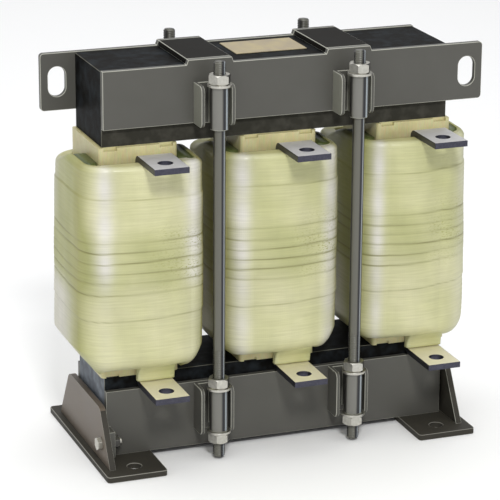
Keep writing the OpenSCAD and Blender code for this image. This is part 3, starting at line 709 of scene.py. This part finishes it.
def tape_relief(turn, z, chance):
    """Push, groove and band edge for each point. turn is the angle round the coil. The push
    is the band's 0.7 mm, less 0.6 mm in the grooves, plus waves (height, count round the
    coil, length up it) and ridges 4.3 mm apart. A groove is a bell curve of 0.6 mm."""
    wander = [0.6 * np.sin(turn + a) + 0.4 * np.sin(3 * turn + b)
              for a, b in chance.uniform(0, 6, (len(GROOVES), 2))]
    cut = [0.75 + 0.35 * np.sin(2 * turn + a) for a in chance.uniform(0, 6, len(GROOVES))]
    groove = sum(deep * bell(z - line, drift, 0.6)
                 for line, drift, deep in zip(GROOVES, wander, cut))
    low_line = BAND_LOW + 0.9 * np.sin(2 * turn + chance.uniform(0, 6))
    high_line = BAND_HIGH + 0.9 * np.sin(2 * turn + chance.uniform(0, 6))
    band = 1 / (1 + np.exp(-(z - low_line) / 0.3)) / (1 + np.exp((z - high_line) / 0.3))
    waves = sum(rise * np.sin(count * turn + chance.uniform(0, 6) + z / length)
                for rise, count, length in WAVES)
    ridges = 0.07 * np.sin(2 * np.pi * z / 4.3 + 2 * np.sin(turn)) * (np.abs(z - 171) > 26)
    push = (BAND_RISE * band - 0.6 * groove + waves + ridges) * soft_step((z - 76) / 6)
    edges = bell(z, low_line, 0.45) + bell(z, high_line, 0.45)
    return np.minimum(push, 0.9), groove, edges


# %% [markdown]
# The five values for the finish follow the photograph's tones. The belt of grooves and the
# sides are wet and green. The front's corners are pale: dry tape and a painted highlight,
# and the sides carry a pale painted sheen. Walls that face another coil, and the faces
# inside the tape, are darkened brown as painted shade.
# %% Where the tape is wet, dry or dark
def tape_fields(turn, z, across, depth, outside, groove, edges, middle, seed, look):
    """Values from 0 to 1 from bell curves and soft steps of place. look holds a coil's own:
    dry_and_sheen_left is the place and half width of its pale strip on the left, dry tape
    and painted highlight, dry_and_sheen_right the strength of the right one, low_fade how far
    both fade low down, top_darkening how much greener and darker the top is, and gap_shade
    how strong the painted shade is on walls that face another coil."""
    facing_x = OUTWARD[None, :, 0]
    front = np.clip(-OUTWARD[None, :, 1] / 0.3, 0, 1)
    side = np.abs(facing_x) ** 4
    belt = bell(z, 176, 26, power=4)
    # Below 90 mm the tape is darkened a little more: painted shade at the lower rim.
    dark = groove * 0.85 + edges * 0.5 + 0.1 * soft_step((90 - z) / 10)
    # The upper part of the middle and right coils is made greener and darker.
    wet = (0.55 * belt + 0.95 * side + 0.08 * soft_step((BAND_LOW + 4 - z) / 16)
           + look["top_darkening"] * soft_step((z - 196) / 20) + 0.12 * np.sin(7 * turn + z / 17))
    # The pale strips on the front's corners are dry tape and a painted highlight.
    strip_at, strip_width = look["dry_and_sheen_left"]
    dry = bell(across, strip_at, strip_width) + look["dry_and_sheen_right"] * bell(across, 41, 8)
    dry = front * dry * (1 - soft_step((170 - z) / 26) * look["low_fade"])
    dry = dry * (0.85 + 0.15 * np.sin(z / 5 + 3 * turn))
    rear_strip = bell(depth, 34, 14) * soft_step((z - 176) / 40)
    low_side = soft_step((160 - z) / 26) * soft_step((depth + 40) / 50)
    # Pale patches on the sides are a painted sheen.
    side_sheen = side * (rear_strip * 0.45 + 0.9 * low_side)
    # Walls that face another coil are darkened as painted shade, and so are the free side, most at
    # its front corner, and the faces inside the tape.
    gap = -facing_x * np.sign(middle) if middle else np.abs(facing_x)
    front_edge = 0.12 + 0.2 * bell(depth, -32, 9)
    free_side_shade = front_edge * side * (np.sign(middle) * facing_x > 0)
    shade = soft_step((gap - 0.62) / 0.33) * look["gap_shade"] + free_side_shade
    speck = (belt * front * soft_step((across + 5) / 25)
             * (0.3 + 0.7 * np.sin(2.5 * turn + z / 9 + seed) ** 2))
    return {"groove": np.clip(dark, 0, 1) * outside, "wet": np.clip(wet, 0, 1),
            "milky": np.clip(dry + side_sheen, 0, 1),
            "shade": np.clip(shade * outside + (1 - outside) * 0.3, 0, 1), "speck": speck}


# %% [markdown]
# A coil is made in two pieces: the tape, and the winding inside it, which keeps clear of the
# tape's mouth and shows in the openings at both ends.
# %% Tape and winding of the three coils
def make_winding(place, middle, corner_radii, depth, mouth):
    """Six rows: up the outside at an inset of 5 mm, in over the shelf to the tape's mouth,
    up to the brim at the sides, in to the former and down again."""
    sideways = np.abs(OUTWARD[:, 0])[None, :] ** 4
    drop = rear_drop(depth)
    outer = np.full_like(drop, 5.0)
    inner = np.maximum(13.5 + 4.9 * sideways, mouth + 0.1)
    shelf, foot = COIL_HIGH - 5.5 - drop, COIL_LOW + 24 + drop
    brim = shelf + 4.9 * sideways
    inset = np.concatenate([outer, outer, mouth, mouth, inner, inner])
    height = np.concatenate([foot, shelf, shelf, brim, brim, foot])
    rings = coil_rings(corner_radii, inset, height)
    rings[..., 0] += lean(rings, height, middle) + middle
    inside = ring_piece(f"winding_in_{place}", rings, closed=True)
    face_outwards(inside)
    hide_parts(f"winding_{place}")
    finish_with(inside, "winding_metal", resin)


def make_coil(place, middle, seed, corner_radii, draw, sag, look):
    """The tape: rings over the section, pushed along the outward direction by the relief,
    leant outwards and moved to the coil's middle. Its UV map counts millimetres."""
    nothing = np.zeros((1, len(OUTWARD)))
    plain = coil_rings(corner_radii, nothing, nothing)[0]
    across, depth = plain[:, 0], plain[:, 1]
    inset, z, outside = coil_section(across, depth, draw, sag)
    steps = np.linalg.norm(np.diff(plain[:, :2], axis=0, append=plain[:1, :2]), axis=1)
    along = np.concatenate([[0], np.cumsum(steps)])
    turn = 2 * np.pi * along[None, :-1] / along[-1]
    push, groove, edges = tape_relief(turn, z, np.random.default_rng(seed))
    rings = coil_rings(corner_radii, inset, z)
    rings[..., :2] += (push * outside)[..., None] * OUTWARD
    rings[..., 0] += lean(rings, z, middle) + middle
    up_the_coil = np.concatenate([z, z[:, :1]], axis=1)
    uv = np.stack([np.broadcast_to(along, up_the_coil.shape), up_the_coil], axis=2)
    piece = ring_piece(f"taped_coil_{place}", rings, closed=True, uv=uv)
    face_outwards(piece)
    write_fields(piece, z.shape, **tape_fields(
        turn, z, across, depth, outside, groove, edges, middle, seed, look))
    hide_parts(f"coil_tape_{place}")
    finish_with(piece, "coil_tape", tape)
    make_winding(place, middle, corner_radii, depth, inset[-1:] + 0.3)


# Corner radii run from the rear right corner to the rear left, front left and front right.
COILS = {
    "left": dict(
        middle=-120, seed=3, corner_radii=(16, 30, 25, 14), draw=(1.0, 0.8), sag=0.0,
        look=dict(dry_and_sheen_left=(-34.5, 7), dry_and_sheen_right=1.0, low_fade=0.85, top_darkening=0.0,
                  gap_shade=0.75)),
    "middle": dict(
        middle=0, seed=5, corner_radii=(24, 26, 24, 22), draw=(0.3, 0.7), sag=0.0,
        look=dict(dry_and_sheen_left=(-38, 7), dry_and_sheen_right=1.0, low_fade=0.25, top_darkening=0.4,
                  gap_shade=0.4)),
    "right": dict(
        middle=120, seed=8, corner_radii=(32, 18, 24, 33), draw=(0.15, 0.0), sag=4.5,
        look=dict(dry_and_sheen_left=(-38, 5), dry_and_sheen_right=0.3, low_fade=0.25, top_darkening=0.4,
                  gap_shade=0.2)),
}
for place, facts in COILS.items():
    make_coil(place, **facts)

# %% [markdown]
# Under each coil the tape goes on over the flat tail of the lower terminal, like a tongue.
# It is a small loft: a rounded rectangle whose front comes back as it goes down, from the
# coil's face to the top of the bar.
# %% Tape tongues over the lower tails
TONGUE_HIGH, TONGUE_LOW, TONGUE_BACK = 87, 69.2, -38.8
TONGUE_RIGHT_OF_MIDDLE = 11.5
TONGUE_ROWS, TONGUE_POINTS = 24, 96


def make_tongue(place, middle):
    """Sections from z 87 down to 69.2: 32 mm wide, the back at Y -38.8, the front going from
    -53 back to -46. Each section is a superellipse of power 6, so its corners are soft."""
    height = np.linspace(TONGUE_HIGH, TONGUE_LOW, TONGUE_ROWS)[:, None]
    angle = np.linspace(0, 2 * np.pi, TONGUE_POINTS, endpoint=False)[None, :]
    front = -53.4 + 7.4 * soft_step((TONGUE_HIGH - height) / 16) + 0.25 * np.sin(height / 1.7)
    half_w = 15.6 + 0.4 * soft_step((TONGUE_HIGH - height) / 18)
    half_d = (TONGUE_BACK - front) / 2
    power = 2 / 6
    x = half_w * np.sign(np.cos(angle)) * np.abs(np.cos(angle)) ** power
    y = front + half_d + half_d * np.sign(np.sin(angle)) * np.abs(np.sin(angle)) ** power
    z = np.broadcast_to(height, x.shape)
    rings = np.stack([middle + TONGUE_RIGHT_OF_MIDDLE + x, y, z], axis=2)
    grid = (TONGUE_ROWS, TONGUE_POINTS + 1)
    along = np.broadcast_to(np.linspace(0, 90, TONGUE_POINTS + 1), grid)
    uv = np.stack([along, np.broadcast_to(height, grid)], axis=2)
    piece = ring_piece(f"tape_tongue_{place}", rings, uv=uv)
    face_outwards(piece)
    # The lowest 1.3 mm of the tongue is darkened as a painted shadow where it meets the bar.
    write_fields(piece, x.shape, groove=0.35 * soft_step((70.5 - height) / 1.2),
                 wet=0.25 + 0.35 * soft_step(x / 16 + 0.2), milky=0.0, shade=0.0, speck=0.0)
    finish_with(piece, "coil_tape", tape)


for place, facts in COILS.items():
    make_tongue(place, facts["middle"])

# %% [markdown]
# ## Plates, straps, brackets and feet
# These parts are cut or folded from plate. Their outlines are right in the CAD model, so
# rounded copies take their place, with a narrow bright line on each edge: thin paint and a
# painted highlight.
# The upper brackets' sides that face left are painted paler, as painted light. The feet's
# base plates, the narrow front faces of their end plates and the right end plate's inner
# face are darker, as painted shade.
# %% Painted plate parts
PLATE_EDGE = 0.5


def faces_left(normal):
    """True for faces that look towards minus X, within about 45 degrees."""
    return normal[:, 0] < -0.7


def faces_front(normal):
    """True for faces that look towards minus Y, within about 45 degrees."""
    return normal[:, 1] < -0.7


for node in ("upper_clamp_front", "upper_clamp_rear", "lower_clamp_front", "lower_clamp_rear"):
    plate = rounded_copy(f"{node}_plate", node, PLATE_EDGE, edge_slot=1)
    finish_with(plate, "grey_paint", clamp_paint, thin_edge_and_highlight)
# The straps take the darker copy of the primer: painted shade on their tops.
for node in ("upper_strap_left", "upper_strap_right", "lower_strap_left", "lower_strap_right"):
    strap = rounded_copy(f"{node}_bar", node, PLATE_EDGE, edge_slot=1)
    finish_with(strap, "grey_paint", strap_paint_in_shade, thin_edge_and_highlight)
for node in ("upper_brackets", "lower_brackets"):
    folded = rounded_copy(f"{node}_folded", node, PLATE_EDGE, edge_slot=1)
    if node == "upper_brackets":
        # Faces that look left take the paler copy: painted light.
        mark_faces(folded, 2, faces_left)
    finish_with(folded, "grey_paint", clamp_paint, thin_edge_and_highlight, lit_side_paint)
# Base plates take the darker copy of the primer: painted shade on their tops.
for node in ("foot_base_left", "foot_base_right"):
    foot = rounded_copy(f"{node}_plate", node, PLATE_EDGE, edge_slot=1)
    finish_with(foot, "grey_paint", shaded_foot_plate_paint, foot_edge_and_highlight)
for node in ("foot_end_left", "foot_end_right"):
    foot = rounded_copy(f"{node}_plate", node, PLATE_EDGE, edge_slot=1)
    # Narrow front faces, and the right end plate's inner face, take the darker copy: painted
    # shade.
    mark_faces(foot, 2, faces_front)
    if node == "foot_end_right":
        mark_faces(foot, 2, faces_left)
    finish_with(foot, "grey_paint", foot_paint, thin_edge_and_highlight, shaded_foot_plate_paint)

# %% [markdown]
# ## Core, formers and hidden parts
# The yokes are rounded copies too, so their edges show a pale line: rubbed varnish and
# painted highlight. The limbs and spacers stay as the CAD made them and get their finish
# in their own material slots.
# %% Core and board parts
upper_stack = rounded_copy("upper_yoke_stack", "upper_yoke", 0.4, edge_slot=1)
# The upper yoke's front faces take a paler copy of the varnish: painted light.
mark_faces(upper_stack, 3, lambda normal: normal[:, 1] < -0.9)
lower_stack = rounded_copy("lower_yoke_stack", "lower_yoke", 0.4, edge_slot=1)
# The lower yoke's ends take a pale blue-grey copy of the varnish: painted reflection.
mark_faces(lower_stack, 2, lambda normal: np.abs(normal[:, 0]) > 0.9)
for stack in (upper_stack, lower_stack):
    finish_with(stack, "core_varnish", core_iron, rubbed_and_lit_core_edge, reflecting_core_end, lit_core_front)
for node in ("former_left", "former_middle", "former_right"):
    finish_with(rounded_copy(f"{node}_tube", node, 0.25, segments=1), "insulating_board", board)


def repaint(node, material):
    """Puts a finish in every material slot of a CAD node's object."""
    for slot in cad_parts[node].material_slots:
        slot.material = material
    print(node, "stays and takes", material.name)


for node in ("limb_left", "limb_middle", "limb_right"):
    repaint(node, core_iron)
repaint("gap_spacers", board)

# %% [markdown]
# ## Terminals
# Flat bar, sheared to length, bent and punched. Shearing leaves crisp edges, so the bevel
# is narrow. The sheared walls and the bores are darker than the tinned flats: duller cut
# copper and painted shade. Resin has stained the lower terminals.
# %% Terminals
for place in ("left", "middle", "right"):
    for level, flat_finish in (("upper", tin), ("lower", stained_tin)):
        lug = rounded_copy(f"{level}_lug_{place}", f"{level}_terminal_{place}", 0.35, edge_slot=1)
        # Walls and bores take the darker finish: duller cut copper and painted shade.
        mark_faces(lug, 1, lambda normal: np.abs(normal[:, 2]) < 0.3)
        finish_with(lug, "tinned_terminal", flat_finish, tin_edge_and_shade)

# %% [markdown]
# ## Rods, sleeves, nuts and washers
# A tie rod is drawn bar with a thread rolled on both ends. Its surface is a radius that
# depends on height and on angle: along the thread it rises and falls once per 1.5 mm pitch,
# and the angle shifts the wave, which makes the helix.
# %% Threaded rods
ROD_LOW, ROD_HIGH, ROD_RADIUS = 2.0, 336.5, 5.0
THREADS = [(ROD_LOW, 28.0), (58.0, 96.0), (312.0, ROD_HIGH)]
THREAD_PITCH, THREAD_DEPTH = 1.5, 0.45


def make_rods():
    """Rings up a rod. Radius is 5 mm less a triangle wave of 0.45 mm on the threads, and the
    last 1 mm at each end narrows to a cone."""
    fine = np.concatenate([np.arange(a, b, THREAD_PITCH / 6) for a, b in THREADS])
    plain = np.arange(28, 312, 12.0)
    height = np.unique(np.concatenate([fine, plain, [ROD_HIGH]]).round(4))
    angle = np.linspace(0, 2 * np.pi, 32, endpoint=False)
    z, a = height[:, None], angle[None, :]
    phase = (z / THREAD_PITCH - a / (2 * np.pi)) % 1.0
    depth = THREAD_DEPTH * (1 - np.abs(2 * phase - 1))
    on_thread = sum(((z > low) & (z < high)) for low, high in THREADS)
    end = np.minimum(z - ROD_LOW, ROD_HIGH - z)
    radius = ROD_RADIUS - depth * on_thread - np.clip(1.0 - end, 0, 1) * 0.9
    one = np.stack([radius * np.cos(a), radius * np.sin(a),
                    np.broadcast_to(z, radius.shape)], axis=2)
    return [ring_piece(f"rod_{i}", one + np.array([x, y, 0]))
            for i, (x, y) in enumerate(ROD_PLACES)]


def join(parts, name):
    """Joins pieces into the first one and names it."""
    with bpy.context.temp_override(active_object=parts[0], object=parts[0],
                                   selected_objects=parts, selected_editable_objects=parts):
        bpy.ops.object.join()
    parts[0].name = name
    return parts[0]


rods = join(make_rods(), "threaded_rods")
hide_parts("tie_rods")
finish_with(rods, "rod_steel", rod_steel)

# %% [markdown]
# Sleeves, washers, nuts and bolts keep their CAD shape with broken edges. Nuts are pressed
# hexagons, so their corners are soft. Facets that look away from the key light are grey,
# and so are the foot nuts, which stand in the shade of the end plates.
# %% Sleeves and fasteners
for node in ("upper_sleeves", "lower_sleeves"):
    tube = rounded_copy(f"{node}_tube", node, 0.5, edge_slot=1)
    finish_with(tube, "sleeve_paint", sleeve_paint, thin_edge_and_highlight)
for node in ("upper_washers", "lower_washers"):
    finish_with(rounded_copy(f"{node}_ring", node, 0.3), "zinc_plate", zinc)
for node in ("upper_nuts", "lower_nuts", "foot_nuts", "foot_bolts"):
    pressed = rounded_copy(f"{node}_hex", node, 0.3)
    in_shade = node == "foot_nuts"
    mark_faces(pressed, 1, lambda normal: (normal[:, 0] > 0.2) | in_shade)
    finish_with(pressed, "zinc_plate", zinc, zinc_in_painted_shade)

# %% [markdown]
# ## Rating plate
# The real plate is printed. Here it stays bare: a thin sheet of metal, held by its glue.
# %% Bare rating plate
label_plate = rounded_copy("bare_rating_plate", "rating_plate", 0.2, segments=1)
finish_with(label_plate, "bare_plate", label_metal)
